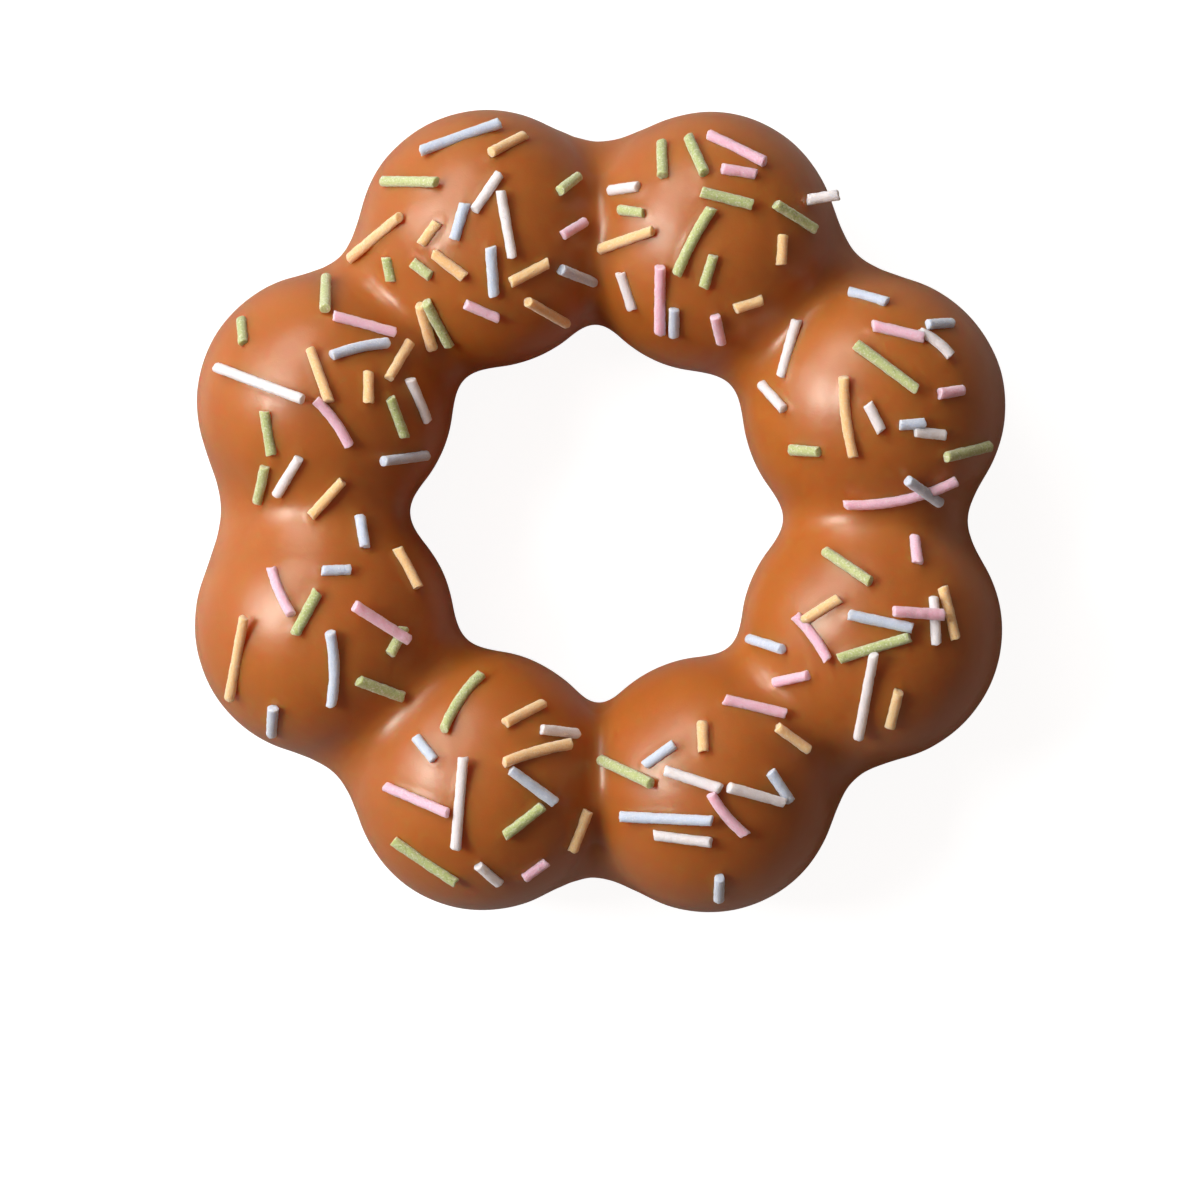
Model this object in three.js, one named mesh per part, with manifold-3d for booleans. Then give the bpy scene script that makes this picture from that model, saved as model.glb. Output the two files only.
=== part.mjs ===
// A ring doughnut of eight fried dough balls run together, coated in caramel frosting
// and scattered with pastel sugar sprinkles.
// Millimetres, +Z up. The ring rests on z = 0, and its hole stands on the origin.

import * as THREE from 'three';
import { mergeVertices } from 'three/addons/utils/BufferGeometryUtils.js';
import Module from 'manifold-3d';

// Driving dimensions of the ring
const BALL_LIFT = 11.9; // height of each ball's centre, so the fried foot is a little flat
const CENTRE_LINE_RADIUS = 31.8; // radius that every section of the ring is drawn about
const NECK_INNER_RADIUS = 20.5; // radius of the ring's necks at the hole
const NECK_OUTER_RADIUS = 41.0; // and at the outside
const CREST_HEIGHT = 7; // height over the balls' centres where a neck is as sharp as on top
const FROSTING_THICKNESS = 0.9;
const FROSTING_GAP = 0.3; // between the frosting and the dough
const LIP_HEIGHT = 4.6; // where the frosting ends above the foot
const LIP_ROLL = THREE.MathUtils.degToRad(2); // how far the lip's round nose hangs past its faces

// The lip wanders up and down: each wave has its count round the ring, its height and its phase
const OUTER_LIP_WAVES = [[3, 0.35, 0.4], [7, 0.3, 2.1], [13, 0.2, 4.4]];
const INNER_LIP_WAVES = [[2, 0.3, 1.2], [5, 0.3, 3.3], [11, 0.15, 0.7]];

// How finely the surfaces are divided
const COLUMNS = 72; // round the ring
const FROSTING_ROWS = 18; // over the top, from lip to lip
const COVERED_ROWS = 8; // under the frosting, shared by its inner face and the dough
const FOOT_ROWS = 5; // across the foot, from lip to lip
const BISECTIONS = 32; // halvings that find a surface

// Driving dimensions of the sprinkles
const SPRINKLE_RADIUS = 0.64;
const SPRINKLE_SINK = 0.42; // how deep a sprinkle lies in the frosting
const SPRINKLE_SIDES = 6;
const BOWED_PIECES = 4; // straight pieces that a bowed sprinkle is made of
const GIRTH_SPREAD = 0.06; // sprinkles are this much thicker or thinner, as a share
const SHORT_LENGTH = [2.5, 5.3];
const SCATTER_REACH = 0.84; // how much of a ball's radius the short ones use
const SCATTER_TRIALS = 8; // places tried for a short sprinkle, of which the roomiest is used
const STEEPEST = 0.36; // least upward share of the surface's normal where an end can lie
const SLOPE_STEP = 0.01; // distance over which a slope is measured
const CROSSING_LIFT = 0.7; // share of a diameter that a sprinkle lies above one it crosses
const SETTLING_STEPS = 6;
const SCATTER_SEED = 90210;
const DRAW_FACTOR = 48271;
const DRAW_RANGE = 2147483647;

// One entry for each ball, anticlockwise from +X: its turn about the hole in degrees, the reach
// of its centre, its radius, and how softly it runs into the next ball at the hole, outside and on
// top. Then come the sprinkles that stand out on it, and how many short ones of each colour lie
// among them. A row gives a sprinkle's colour, its middle to the right of and above the ball's
// centre as seen from above, its heading in degrees, the length seen from above and how far its
// middle bows to the left of its heading. One that lies on another comes after it.
const BALLS = [
  {
    turn: 21.1, reach: 32.7, radius: 14.6, fill: [6.2, 9.1, 4],
    long: [
      ['green', 0.8, 3.9, -37, 8.3, 0],
      ['orange', -3.3, -1.6, -83, 8.8, -0.3],
      ['pink', 2.5, -9.8, 12, 12.6, -0.8],
      ['blue', 5.1, -9.7, -33, 4.5, 0],
      ['white', -9.7, 6.1, 74, 6.5, 0],
      ['pink', 2.2, 7.8, -13, 5.8, 0],
      ['white', 6.2, 6.5, -37, 4.4, 0.3],
    ],
    short: { white: 3, green: 2, pink: 1, blue: 3 },
  },
  {
    turn: 67.9, reach: 32.4, radius: 14.4, fill: [4.4, 8.7, 1.5],
    long: [
      ['pink', 2.9, 9.7, -27, 6.9, 0],
      ['green', -1.8, -0.7, 62, 8.1, 0.2],
      ['pink', -5.5, -7.0, 90, 7.1, 0],
      ['orange', -9.2, -0.4, 17, 6.0, 0],
      ['green', 1.8, 4.0, -14, 5.8, 0],
      ['white', 12.4, 4.4, 9, 3.5, 0],
    ],
    short: { orange: 2, white: 2, green: 5, pink: 2, blue: 1 },
  },
  {
    turn: 112.3, reach: 32.8, radius: 14.3, fill: [5.8, 8.2, 4],
    long: [
      ['blue', -2.7, 10.7, 20, 9.3, 0],
      ['orange', -12.2, -0.3, 36, 7.1, 0],
      ['white', 2.4, 0.8, -80, 7.4, 0],
      ['green', -8.3, 5.7, -4, 6.1, 0],
      ['orange', -6.5, -10.1, -75, 4.9, 0],
      ['green', -5.2, -9.9, -62, 5.3, 0],
    ],
    short: { pink: 2, green: 3, blue: 3, orange: 5, white: 1 },
  },
  {
    turn: 157.9, reach: 32.8, radius: 14.2, fill: [5.2, 10.7, 7],
    long: [
      ['white', -6.7, 1.6, -21, 10.5, 0],
      ['pink', 4.8, 8.1, -15, 7.0, 0],
      ['blue', 4.3, 5.3, 14, 6.2, 0.2],
      ['orange', 0, 2.4, -70, 6.1, 0],
      ['pink', 1.4, -2.8, -54, 6.1, 0.3],
    ],
    short: { white: 2, orange: 3, blue: 1, green: 5 },
  },
  {
    turn: 202.4, reach: 32.9, radius: 14.4, fill: [5.6, 8.2, 4],
    long: [
      ['orange', -9.2, -3.6, 78, 9.2, 0],
      ['blue', 1.2, -4.7, 90, 8.0, -0.4],
      ['green', 8.4, -1.7, 62, 3.3, 0],
      ['pink', 6.8, 0.3, -33, 7.0, 0],
      ['pink', -4.2, 3.8, -66, 5.6, -0.2],
      ['green', -1.4, 1.4, 62, 5.2, 0],
    ],
    short: { blue: 3, orange: 1, green: 1 },
  },
  {
    turn: 246.6, reach: 32.4, radius: 14.4, fill: [4.2, 8.7, 1],
    long: [
      ['green', -2.0, 8.9, 56, 7.2, 0.4],
      ['orange', 6.2, 3.3, 15, 7.5, 0.2],
      ['white', -2.3, -2.1, 85, 10.1, 0],
      ['pink', -7.0, -1.8, -22, 7.5, 0],
      ['green', -6.2, -8.7, -34, 8.3, 0],
      ['blue', 5.7, -0.3, -37, 6.1, 0],
      ['green', 4.7, -4.1, 38, 5.3, 0],
    ],
    short: { pink: 1, blue: 1, orange: 2, white: 2 },
  },
  {
    turn: 292.2, reach: 32.6, radius: 14.2, fill: [5.3, 8.1, 4.5],
    long: [
      ['blue', -5.0, -3.4, -2, 10.0, 0],
      ['white', -3.2, -5.6, -7, 6.3, 0],
      ['white', -2.1, 0.9, -18, 6.4, 0],
      ['blue', 7.5, 0.1, -56, 4.0, 0],
      ['white', 4.9, -0.8, -16, 6.4, 0],
      ['pink', 1.8, -2.9, -50, 5.9, -0.3],
      ['pink', 4.8, 8.8, -13, 6.9, 0],
      ['green', -9.4, 1.7, -24, 6.0, 0],
    ],
    short: { blue: 2, orange: 2 },
  },
  {
    turn: 336.5, reach: 33.0, radius: 14.5, fill: [5.4, 7.3, 5],
    long: [
      ['green', -0.3, -1.8, 17, 8.1, 0],
      ['white', -1.1, -7.1, 81, 9.3, 0],
      ['blue', 0.4, 1.1, -12, 7.1, 0],
      ['pink', -7.1, -0.7, -54, 6.0, 0.3],
      ['green', -3.1, 7.1, -35, 5.9, 0],
      ['orange', 8.0, 2.0, -76, 5.8, 0],
      ['white', 6.4, 1.2, -87, 5.2, 0],
      ['pink', 4.6, 2.0, -4, 5.6, 0],
    ],
    short: { pink: 2, orange: 2, blue: 1 },
  },
];

const UPWARD = new THREE.Vector3(0, 0, 1);

const balls = BALLS.map((ball, number) => ({
  ...ball,
  number,
  centre: new THREE.Vector3(ball.reach, 0, BALL_LIFT)
    .applyAxisAngle(UPWARD, THREE.MathUtils.degToRad(ball.turn)),
}));

// Signed distance to the frosted surface: the nearest ball, run into the next one at their neck
function surfaceDistance(point) {
  const byDistance = balls
    .map((ball) => ({ ball, distance: point.distanceTo(ball.centre) - ball.radius }))
    .sort((a, b) => a.distance - b.distance);
  const [nearest, next] = byDistance;
  const forward = (nearest.ball.number + 1) % balls.length === next.ball.number;
  const [atHole, outside, onTop] = (forward ? nearest : next).ball.fill;
  const outward = THREE.MathUtils.inverseLerp(
    NECK_INNER_RADIUS, NECK_OUTER_RADIUS, Math.hypot(point.x, point.y));
  const upward = (point.z - BALL_LIFT) / CREST_HEIGHT;
  const level = THREE.MathUtils.lerp(atHole, outside, THREE.MathUtils.clamp(outward, 0, 1));
  const fill = THREE.MathUtils.lerp(level, onTop, THREE.MathUtils.clamp(upward, 0, 1));
  const closeness = Math.max(fill - (next.distance - nearest.distance), 0) / fill;
  return nearest.distance - closeness * closeness * fill / 4;
}

// The place between two others where the distance to the surface passes a wanted value
function surfaceBetween(inside, outside, wanted) {
  let [low, high] = [0, 1];
  const probe = new THREE.Vector3();
  for (let step = 0; step < BISECTIONS; step += 1) {
    const middle = (low + high) / 2;
    probe.lerpVectors(inside, outside, middle);
    if (surfaceDistance(probe) < wanted) low = middle;
    else high = middle;
  }
  return probe.lerpVectors(inside, outside, low).clone();
}

// A point of the ring's section at a turn round the hole, at a tilt about the section's middle,
// where 0 faces outward and a quarter turn faces up, and a depth under the frosted surface
function sectionPoint(turn, tilt, depth) {
  const centre = new THREE.Vector3(CENTRE_LINE_RADIUS, 0, BALL_LIFT);
  const reach = 2 * BALL_LIFT;
  const outside = new THREE.Vector3(reach * Math.cos(tilt), 0, reach * Math.sin(tilt)).add(centre);
  return surfaceBetween(
    centre.applyAxisAngle(UPWARD, turn), outside.applyAxisAngle(UPWARD, turn), -depth);
}

// The tilt at which the frosting ends, found by sinking towards the lip's wandering height
function lipTilt(turn, waves, side) {
  const height = waves.reduce(
    (sum, [count, rise, phase]) => sum + rise * Math.sin(count * turn + phase), LIP_HEIGHT);
  let [low, high] = [0, Math.PI / 2];
  for (let step = 0; step < BISECTIONS; step += 1) {
    const dip = (low + high) / 2;
    const tilt = side === 'outer' ? -dip : Math.PI + dip;
    if (sectionPoint(turn, tilt, 0).z > height) low = dip;
    else high = dip;
  }
  return side === 'outer' ? -low : Math.PI + low;
}

// Points of a section from one tilt to another, both ends included
function sweepSection(turn, from, to, rows, depth) {
  return Array.from({ length: rows + 1 }, (_, row) => (
    sectionPoint(turn, THREE.MathUtils.lerp(from, to, row / rows), depth)));
}

// The frosting's section: over the top, round the inner lip, back underneath, round the outer lip
function frostingSection(turn) {
  const outer = lipTilt(turn, OUTER_LIP_WAVES, 'outer');
  const inner = lipTilt(turn, INNER_LIP_WAVES, 'inner');
  return [
    ...sweepSection(turn, outer, inner, FROSTING_ROWS, 0),
    sectionPoint(turn, inner + LIP_ROLL, FROSTING_THICKNESS / 2),
    ...sweepSection(turn, inner, outer, COVERED_ROWS, FROSTING_THICKNESS),
    sectionPoint(turn, outer - LIP_ROLL, FROSTING_THICKNESS / 2),
  ];
}

// The dough's section, on the same rows as the frosting's inner face, so that the gap stays even
function doughSection(turn) {
  const outer = lipTilt(turn, OUTER_LIP_WAVES, 'outer');
  const inner = lipTilt(turn, INNER_LIP_WAVES, 'inner');
  const depth = FROSTING_THICKNESS + FROSTING_GAP;
  return [
    ...sweepSection(turn, outer, inner, COVERED_ROWS, depth),
    ...sweepSection(turn, inner, outer + 2 * Math.PI, FOOT_ROWS, depth).slice(1, -1),
  ];
}

// A closed ring through the same section at every column. The frosting's inner face runs the other
// way from the dough's, so its quads are split the other way too, and the two faces match.
function ringGeometry(section, splitBack) {
  const rings = Array.from({ length: COLUMNS }, (_, column) => (
    section(2 * Math.PI * column / COLUMNS)));
  const rows = rings[0].length;
  const index = [];
  for (let column = 0; column < COLUMNS; column += 1) {
    const nextColumn = (column + 1) % COLUMNS;
    for (let row = 0; row < rows; row += 1) {
      const nextRow = (row + 1) % rows;
      const [a, b] = [column * rows + row, nextColumn * rows + row];
      const [c, d] = [nextColumn * rows + nextRow, column * rows + nextRow];
      if (splitBack) index.push(a, b, d, b, c, d);
      else index.push(a, b, c, a, c, d);
    }
  }
  const geometry = new THREE.BufferGeometry().setFromPoints(rings.flat());
  geometry.setIndex(index);
  return geometry;
}

// Seeded random draw between two values
let drawState = SCATTER_SEED;
function draw(low, high) {
  drawState = (drawState * DRAW_FACTOR) % DRAW_RANGE;
  return low + (high - low) * drawState / DRAW_RANGE;
}

// Outward direction of the surface at a point, from how the distance grows along X, Y and Z
function surfaceNormal(point) {
  const here = surfaceDistance(point);
  const growth = [0, 1, 2].map((way) => {
    const probe = point.clone();
    probe.setComponent(way, probe.getComponent(way) + SLOPE_STEP);
    return surfaceDistance(probe) - here;
  });
  return new THREE.Vector3(...growth).normalize();
}

// The frosted surface above a place, or null where there is none or it is too steep to hold
function surfaceAbove(x, y) {
  const inside = new THREE.Vector3(x, y, BALL_LIFT);
  if (surfaceDistance(inside) >= 0) return null;
  const surface = surfaceBetween(inside, new THREE.Vector3(x, y, 3 * BALL_LIFT), 0);
  return surfaceNormal(surface).z < STEEPEST ? null : surface;
}

// How far a sprinkle's axis passes from another's, found by stepping between the two
function axisGap(first, second) {
  let onFirst = first.getCenter(new THREE.Vector3());
  let onSecond = onFirst;
  for (let step = 0; step < BISECTIONS; step += 1) {
    onSecond = second.closestPointToPoint(onFirst, true, new THREE.Vector3());
    onFirst = first.closestPointToPoint(onSecond, true, new THREE.Vector3());
  }
  return onFirst.distanceTo(onSecond);
}

// A sprinkle's axis as seen from above
function flattened(axis) {
  return new THREE.Line3(axis.start.clone().setZ(0), axis.end.clone().setZ(0));
}

// A sprinkle laid on the frosting at a place: its axis, its upward direction and its bow.
// Where its far end would lie over nothing, it juts out level if it may, and otherwise is null.
function settle(x, y, heading, length, bow, mayJut) {
  const ahead = new THREE.Vector3(length / 2, 0, 0).applyAxisAngle(UPWARD, heading);
  const start = surfaceAbove(x - ahead.x, y - ahead.y);
  let end = surfaceAbove(x + ahead.x, y + ahead.y);
  if (start !== null && end === null && mayJut) end = start.clone().addScaledVector(ahead, 2);
  if (start === null || end === null) return null;
  const along = end.clone().sub(start);
  const right = new THREE.Vector3(along.y, -along.x, 0).normalize();
  const up = right.clone().cross(along).normalize();
  const axis = new THREE.Line3(start, end);
  for (let step = 0; step < SETTLING_STEPS; step += 1) {
    let lowest = Infinity;
    for (let place = -1; place <= 1; place += 0.25) {
      const probe = axis.at((1 + place) / 2, new THREE.Vector3());
      probe.addScaledVector(right, -bow * (1 - place * place));
      lowest = Math.min(lowest, surfaceDistance(probe));
    }
    const rise = (SPRINKLE_RADIUS - SPRINKLE_SINK - lowest) / up.z;
    axis.start.z += rise;
    axis.end.z += rise;
  }
  return { axis, right, up, bow };
}

// Raises a sprinkle until it lies on top of the ones that it crosses
function raiseClear(sprinkle, placed) {
  const least = CROSSING_LIFT * 2 * SPRINKLE_RADIUS;
  for (const other of placed) {
    const gap = axisGap(sprinkle.axis, other.axis);
    const beneath = axisGap(flattened(sprinkle.axis), flattened(other.axis));
    if (gap < least) {
      const wanted = Math.sqrt(least * least - beneath * beneath);
      const rise = wanted - Math.sqrt(gap * gap - beneath * beneath);
      sprinkle.axis.start.z += rise;
      sprinkle.axis.end.z += rise;
    }
  }
}

// The roomiest of a few random places on a ball for a short sprinkle
function scatterShort(ball, placed) {
  let best = null;
  let mostRoom = -1;
  for (let trial = 0; trial < SCATTER_TRIALS; trial += 1) {
    const away = ball.radius * SCATTER_REACH * Math.sqrt(draw(0, 1));
    const bearing = draw(0, 2 * Math.PI);
    const heading = draw(0, Math.PI);
    const length = draw(...SHORT_LENGTH);
    const x = ball.centre.x + away * Math.cos(bearing);
    const y = ball.centre.y + away * Math.sin(bearing);
    const sprinkle = settle(x, y, heading, length, 0, false);
    if (sprinkle === null) continue;
    const flat = flattened(sprinkle.axis);
    const room = Math.min(...placed.map((other) => axisGap(flat, flattened(other.axis))));
    if (room > mostRoom) {
      mostRoom = room;
      best = sprinkle;
    }
  }
  return best;
}

// All sprinkles: first the ones that stand out on each ball, then the short ones between them
function layOutSprinkles() {
  const placed = [];
  for (const ball of balls) {
    for (const [colour, right, above, heading, length, bow] of ball.long) {
      const sprinkle = settle(ball.centre.x + right, ball.centre.y + above,
        THREE.MathUtils.degToRad(heading), length, bow, true);
      raiseClear(sprinkle, placed);
      placed.push({ ...sprinkle, colour });
    }
  }
  for (const ball of balls) {
    for (const [colour, count] of Object.entries(ball.short)) {
      for (let number = 0; number < count; number += 1) {
        placed.push({ ...scatterShort(ball, placed), colour });
      }
    }
  }
  for (const sprinkle of placed) {
    sprinkle.radius = SPRINKLE_RADIUS * draw(1 - GIRTH_SPREAD, 1 + GIRTH_SPREAD);
  }
  return placed;
}

// A sprinkle's rod, along its axis and bowed to the left of it
function sprinkleGeometry({ axis, right, up, bow, radius }) {
  const length = axis.distance();
  const pieces = bow === 0 ? 1 : BOWED_PIECES;
  const geometry = new THREE.CylinderGeometry(radius, radius, length, SPRINKLE_SIDES, pieces);
  const position = geometry.getAttribute('position');
  for (let vertex = 0; vertex < position.count; vertex += 1) {
    const place = 2 * position.getY(vertex) / length;
    position.setX(vertex, position.getX(vertex) - bow * (1 - place * place));
  }
  const along = axis.delta(new THREE.Vector3()).normalize();
  const frame = new THREE.Matrix4().makeBasis(right, along, up);
  return geometry.applyMatrix4(frame.setPosition(axis.getCenter(new THREE.Vector3())));
}

const wasm = await Module();
wasm.setup();

// A geometry as a solid that can be joined and cut
function toSolid(geometry) {
  const plain = geometry.clone();
  plain.deleteAttribute('normal');
  plain.deleteAttribute('uv');
  const merged = mergeVertices(plain);
  return new wasm.Manifold(new wasm.Mesh({
    numProp: 3,
    vertProperties: new Float32Array(merged.getAttribute('position').array),
    triVerts: new Uint32Array(merged.getIndex().array),
  }));
}

// A solid as a geometry again
function toGeometry(solid) {
  const mesh = solid.getMesh();
  const geometry = new THREE.BufferGeometry();
  geometry.setAttribute('position', new THREE.BufferAttribute(mesh.vertProperties, mesh.numProp));
  geometry.setIndex(new THREE.BufferAttribute(mesh.triVerts, 1));
  geometry.computeVertexNormals();
  return geometry;
}

// The dough ring, cut flat where it stands
function doughRing() {
  const slab = new THREE.BoxGeometry(8 * BALL_LIFT, 8 * BALL_LIFT, BALL_LIFT);
  slab.translate(0, 0, -BALL_LIFT / 2);
  return toGeometry(toSolid(ringGeometry(doughSection, false)).subtract(toSolid(slab)));
}

// The frosting over it, with every sprinkle stuck in
function sprinkledFrosting() {
  const coat = toSolid(ringGeometry(frostingSection, true));
  return toGeometry(layOutSprinkles().reduce(
    (solid, sprinkle) => solid.add(toSolid(sprinkleGeometry(sprinkle))), coat));
}

function namedMesh(name, geometry, colour, roughness) {
  const material = new THREE.MeshStandardMaterial({ color: colour, roughness, metalness: 0 });
  const mesh = new THREE.Mesh(geometry, material);
  mesh.name = name;
  return mesh;
}

const doughnut = new THREE.Group();
doughnut.add(namedMesh('dough_ring', doughRing(), '#c58a4b', 0.75));
doughnut.add(namedMesh('frosting', sprinkledFrosting(), '#b4672f', 0.35));

export default doughnut;
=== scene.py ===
"""Looks of a ring doughnut of eight joined balls, frosted and scattered with sugar sprinkles.

The shapes' sizes are in millimetres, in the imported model's frame, and the meshes are written
in metres. The ring's surface and the sprinkles' rule are the same as in the CAD source, so that
every finished piece lies where its solid does. Only the frosting's sharpest creases are softer.
"""

from __future__ import annotations

import logging
import math
from dataclasses import dataclass, field
from enum import Enum

import bmesh
import bpy
import numpy as np
from mathutils import Matrix, Vector, noise

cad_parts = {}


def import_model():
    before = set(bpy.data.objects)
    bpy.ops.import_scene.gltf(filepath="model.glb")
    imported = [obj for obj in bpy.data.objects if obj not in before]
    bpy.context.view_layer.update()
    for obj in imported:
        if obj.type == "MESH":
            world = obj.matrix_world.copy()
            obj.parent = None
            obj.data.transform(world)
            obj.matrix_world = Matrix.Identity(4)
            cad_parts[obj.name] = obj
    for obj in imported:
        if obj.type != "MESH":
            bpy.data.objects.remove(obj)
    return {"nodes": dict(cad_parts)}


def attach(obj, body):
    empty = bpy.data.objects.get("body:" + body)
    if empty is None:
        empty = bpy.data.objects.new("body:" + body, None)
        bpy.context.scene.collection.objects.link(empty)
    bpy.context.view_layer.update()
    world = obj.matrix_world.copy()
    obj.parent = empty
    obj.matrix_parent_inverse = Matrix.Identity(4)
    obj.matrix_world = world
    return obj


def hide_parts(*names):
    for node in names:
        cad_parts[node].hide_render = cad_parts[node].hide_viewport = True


LOG = logging.getLogger("doughnut")
MM = 0.001  # metres in a millimetre
BODY = "root"
ROD_RADIUS = 0.64  # millimetres, as in the solids
CREASE_FILL = 3.0  # millimetres, least fill of the finished frosting
SCATTER_SEED = 90210
ROD_SEED = 4711
Array = np.ndarray
Rgb = tuple[float, float, float]  # red, green and blue


class Colour(Enum):
    """The sprinkles' colours, each made as one piece."""

    WHITE = "white"
    PINK = "pink"
    BLUE = "blue"
    GREEN = "green"
    ORANGE = "orange"


WHITE, PINK, BLUE, GREEN, ORANGE = Colour


class Side(Enum):
    """The two sides of the ring on which the frosting ends."""

    OUTER = "outer"
    INNER = "inner"


@dataclass(frozen=True)
class Ball:
    """One ball of the ring, as the frosting's outside shows it.

    Attributes:
        turn: its place round the hole, in degrees anticlockwise from +X.
        reach: distance of its centre from the middle of the hole.
        radius: its radius.
        fill: how softly it runs into the next ball at the hole, outside and on top.
        long: the sprinkles that stand out on it. Each row gives the colour, how far its middle
            lies right of and above the ball's centre, the heading in degrees, the length, all as
            seen from above, and how far the middle bows to the left.
        short: how many short sprinkles of each colour lie among them.
    """

    turn: float
    reach: float
    radius: float
    fill: tuple[float, float, float]
    long: tuple[tuple[Colour, float, float, float, float, float], ...]
    short: tuple[tuple[Colour, int], ...]


BALLS = (
    Ball(21.1, 32.7, 14.6, (6.2, 9.1, 4), (
        (GREEN, 0.8, 3.9, -37, 8.3, 0),
        (ORANGE, -3.3, -1.6, -83, 8.8, -0.3),
        (PINK, 2.5, -9.8, 12, 12.6, -0.8),
        (BLUE, 5.1, -9.7, -33, 4.5, 0),
        (WHITE, -9.7, 6.1, 74, 6.5, 0),
        (PINK, 2.2, 7.8, -13, 5.8, 0),
        (WHITE, 6.2, 6.5, -37, 4.4, 0.3),
    ), ((WHITE, 3), (GREEN, 2), (PINK, 1), (BLUE, 3))),
    Ball(67.9, 32.4, 14.4, (4.4, 8.7, 1.5), (
        (PINK, 2.9, 9.7, -27, 6.9, 0),
        (GREEN, -1.8, -0.7, 62, 8.1, 0.2),
        (PINK, -5.5, -7.0, 90, 7.1, 0),
        (ORANGE, -9.2, -0.4, 17, 6.0, 0),
        (GREEN, 1.8, 4.0, -14, 5.8, 0),
        (WHITE, 12.4, 4.4, 9, 3.5, 0),
    ), ((ORANGE, 2), (WHITE, 2), (GREEN, 5), (PINK, 2), (BLUE, 1))),
    Ball(112.3, 32.8, 14.3, (5.8, 8.2, 4), (
        (BLUE, -2.7, 10.7, 20, 9.3, 0),
        (ORANGE, -12.2, -0.3, 36, 7.1, 0),
        (WHITE, 2.4, 0.8, -80, 7.4, 0),
        (GREEN, -8.3, 5.7, -4, 6.1, 0),
        (ORANGE, -6.5, -10.1, -75, 4.9, 0),
        (GREEN, -5.2, -9.9, -62, 5.3, 0),
    ), ((PINK, 2), (GREEN, 3), (BLUE, 3), (ORANGE, 5), (WHITE, 1))),
    Ball(157.9, 32.8, 14.2, (5.2, 10.7, 7), (
        (WHITE, -6.7, 1.6, -21, 10.5, 0),
        (PINK, 4.8, 8.1, -15, 7.0, 0),
        (BLUE, 4.3, 5.3, 14, 6.2, 0.2),
        (ORANGE, 0, 2.4, -70, 6.1, 0),
        (PINK, 1.4, -2.8, -54, 6.1, 0.3),
    ), ((WHITE, 2), (ORANGE, 3), (BLUE, 1), (GREEN, 5))),
    Ball(202.4, 32.9, 14.4, (5.6, 8.2, 4), (
        (ORANGE, -9.2, -3.6, 78, 9.2, 0),
        (BLUE, 1.2, -4.7, 90, 8.0, -0.4),
        (GREEN, 8.4, -1.7, 62, 3.3, 0),
        (PINK, 6.8, 0.3, -33, 7.0, 0),
        (PINK, -4.2, 3.8, -66, 5.6, -0.2),
        (GREEN, -1.4, 1.4, 62, 5.2, 0),
    ), ((BLUE, 3), (ORANGE, 1), (GREEN, 1))),
    Ball(246.6, 32.4, 14.4, (4.2, 8.7, 1), (
        (GREEN, -2.0, 8.9, 56, 7.2, 0.4),
        (ORANGE, 6.2, 3.3, 15, 7.5, 0.2),
        (WHITE, -2.3, -2.1, 85, 10.1, 0),
        (PINK, -7.0, -1.8, -22, 7.5, 0),
        (GREEN, -6.2, -8.7, -34, 8.3, 0),
        (BLUE, 5.7, -0.3, -37, 6.1, 0),
        (GREEN, 4.7, -4.1, 38, 5.3, 0),
    ), ((PINK, 1), (BLUE, 1), (ORANGE, 2), (WHITE, 2))),
    Ball(292.2, 32.6, 14.2, (5.3, 8.1, 4.5), (
        (BLUE, -5.0, -3.4, -2, 10.0, 0),
        (WHITE, -3.2, -5.6, -7, 6.3, 0),
        (WHITE, -2.1, 0.9, -18, 6.4, 0),
        (BLUE, 7.5, 0.1, -56, 4.0, 0),
        (WHITE, 4.9, -0.8, -16, 6.4, 0),
        (PINK, 1.8, -2.9, -50, 5.9, -0.3),
        (PINK, 4.8, 8.8, -13, 6.9, 0),
        (GREEN, -9.4, 1.7, -24, 6.0, 0),
    ), ((BLUE, 2), (ORANGE, 2))),
    Ball(336.5, 33.0, 14.5, (5.4, 7.3, 5), (
        (GREEN, -0.3, -1.8, 17, 8.1, 0),
        (WHITE, -1.1, -7.1, 81, 9.3, 0),
        (BLUE, 0.4, 1.1, -12, 7.1, 0),
        (PINK, -7.1, -0.7, -54, 6.0, 0.3),
        (GREEN, -3.1, 7.1, -35, 5.9, 0),
        (ORANGE, 8.0, 2.0, -76, 5.8, 0),
        (WHITE, 6.4, 1.2, -87, 5.2, 0),
        (PINK, 4.6, 2.0, -4, 5.6, 0),
    ), ((PINK, 2), (ORANGE, 2), (BLUE, 1))),
)


class Dice:
    """A seeded whole-number random draw that gives the same values in any language."""

    FACTOR = 48271
    RANGE = 2147483647

    def __init__(self, seed: int) -> None:
        """Starts the draw at a seed, a whole number above 0."""
        self.state = seed

    def draw(self, low: float, high: float) -> float:
        """Draws the next value between two."""
        self.state = (self.state * self.FACTOR) % self.RANGE
        return low + (high - low) * self.state / self.RANGE


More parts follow.
